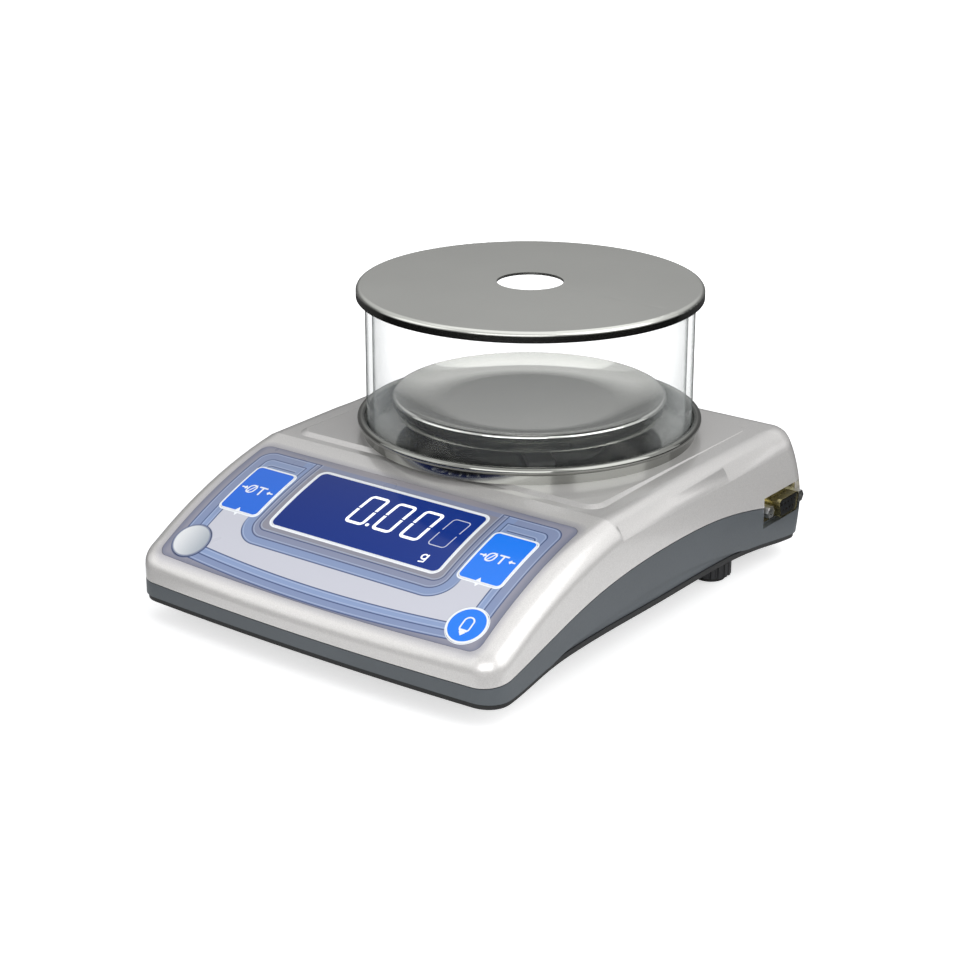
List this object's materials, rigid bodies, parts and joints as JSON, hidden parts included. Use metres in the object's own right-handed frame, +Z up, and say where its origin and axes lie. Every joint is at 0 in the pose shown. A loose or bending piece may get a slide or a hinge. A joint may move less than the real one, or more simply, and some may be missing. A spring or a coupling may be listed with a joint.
{
  "type": "laboratory balance",
  "caption": "Low wedge-shaped laboratory balance with a sloping keypad and display, and a round steel pan inside a glass ring draught shield with a steel lid.",
  "frame": {"origin": "on the table under the middle of the case", "axes": "+Z up, the display faces -Y, the serial socket is on the +X side"},
  "size_m": [0.185, 0.233, 0.1244],
  "materials": {
    "pearl": "satin pearl",
    "grey_plastic": "fine texture",
    "black_plastic": "matte",
    "screw_steel": "plated",
    "printed_film": "printed film",
    "display": "gloss",
    "blue_key": "gloss",
    "dome_metal": "plated",
    "lens": "clear",
    "white_plastic": "gloss",
    "circuit_board": "matte",
    "aluminium": "milled",
    "turned_steel": "turned",
    "brushed_steel": "polished",
    "clear_glass": "clear",
    "rubber": "matte",
    "brass": "plain"
  },
  "bodies": {
    "case": {"top_housing": "pearl", "base_housing": "grey_plastic", "bottom_plate": "black_plastic", "case_screws": "screw_steel", "keypad_overlay": "printed_film", "display_window": "display", "key_domes": "dome_metal", "level_vial": "lens", "level_cup": "white_plastic", "display_board": "circuit_board", "display_screws": "screw_steel", "lcd_module": "black_plastic", "lcd_glass": "display", "main_board": "circuit_board", "main_screws": "screw_steel", "board_parts": "black_plastic", "load_cell": "aluminium", "cell_mount": "screw_steel", "cell_screws": "screw_steel", "stop_screw": "screw_steel", "draft_tray": "brushed_steel", "serial_shell": "dome_metal", "serial_body": "black_plastic", "jack_sockets": "screw_steel", "power_inlet": "black_plastic", "inlet_pin": "screw_steel", "left_front_foot": "rubber", "right_front_foot": "rubber", "left_foot_insert": "brass", "right_foot_insert": "brass"},
    "carrier": {"carrier_arm": "aluminium", "arm_screws": "screw_steel", "spindle": "turned_steel", "pan_cross": "aluminium", "pan_pads": "rubber"},
    "pan": {"weighing_pan": "brushed_steel", "pan_ring": "brushed_steel"},
    "glass": {"glass_cylinder": "clear_glass"},
    "lid": {"shield_lid": "brushed_steel", "lid_ring": "black_plastic"},
    "left_tare": {"left_tare_key": "blue_key"},
    "right_tare": {"right_tare_key": "blue_key"},
    "power": {"power_key": "blue_key"},
    "left_back_pad": {"left_foot_pad": "rubber"},
    "left_back_knob": {"left_foot_knob": "black_plastic"},
    "right_back_pad": {"right_foot_pad": "rubber"},
    "right_back_knob": {"right_foot_knob": "black_plastic"}
  },
  "joints": [
    {"name": "carrier_sink", "type": "slide", "parent": "case", "child": "carrier", "axis": [0, 0, -1], "range_m": [0, 0.0004], "stiffness_N_per_m": 15000, "deforming": ["load_cell"]},
    {"name": "pan_lift", "type": "slide", "parent": "carrier", "child": "pan", "axis": [0, 0, 1], "range_m": [0, 0.035]},
    {"name": "glass_lift", "type": "slide", "parent": "case", "child": "glass", "axis": [0, 0, 1], "range_m": [0, 0.08]},
    {"name": "lid_lift", "type": "slide", "parent": "glass", "child": "lid", "axis": [0, 0, 1], "range_m": [0, 0.1]},
    {"name": "left_tare_press", "type": "slide", "parent": "case", "child": "left_tare", "axis": [0, 0.3458, -0.9383], "range_m": [0, 0.0004], "stiffness_N_per_m": 4000},
    {"name": "right_tare_press", "type": "slide", "parent": "case", "child": "right_tare", "axis": [0, 0.3458, -0.9383], "range_m": [0, 0.0004], "stiffness_N_per_m": 4000},
    {"name": "power_press", "type": "slide", "parent": "case", "child": "power", "axis": [0, 0.4912, -0.8711], "range_m": [0, 0.0004], "stiffness_N_per_m": 4000},
    {"name": "left_foot_height", "type": "slide", "parent": "case", "child": "left_back_pad", "axis": [0, 0, 1], "range_m": [-0.003, 0.003]},
    {"name": "left_foot_turn", "type": "hinge", "parent": "left_back_pad", "child": "left_back_knob", "pos_m": [-0.074, 0.063, 0.005], "axis": [0, 0, 1], "range_deg": [-1080, 1080]},
    {"name": "right_foot_height", "type": "slide", "parent": "case", "child": "right_back_pad", "axis": [0, 0, 1], "range_m": [-0.003, 0.003]},
    {"name": "right_foot_turn", "type": "hinge", "parent": "right_back_pad", "child": "right_back_knob", "pos_m": [0.074, 0.063, 0.005], "axis": [0, 0, 1], "range_deg": [-1080, 1080]}
  ],
  "couplings": [
    {"joint": "left_foot_turn", "follows": "left_foot_height", "rad_per_m": 6283.2},
    {"joint": "right_foot_turn", "follows": "right_foot_height", "rad_per_m": 6283.2}
  ]
}
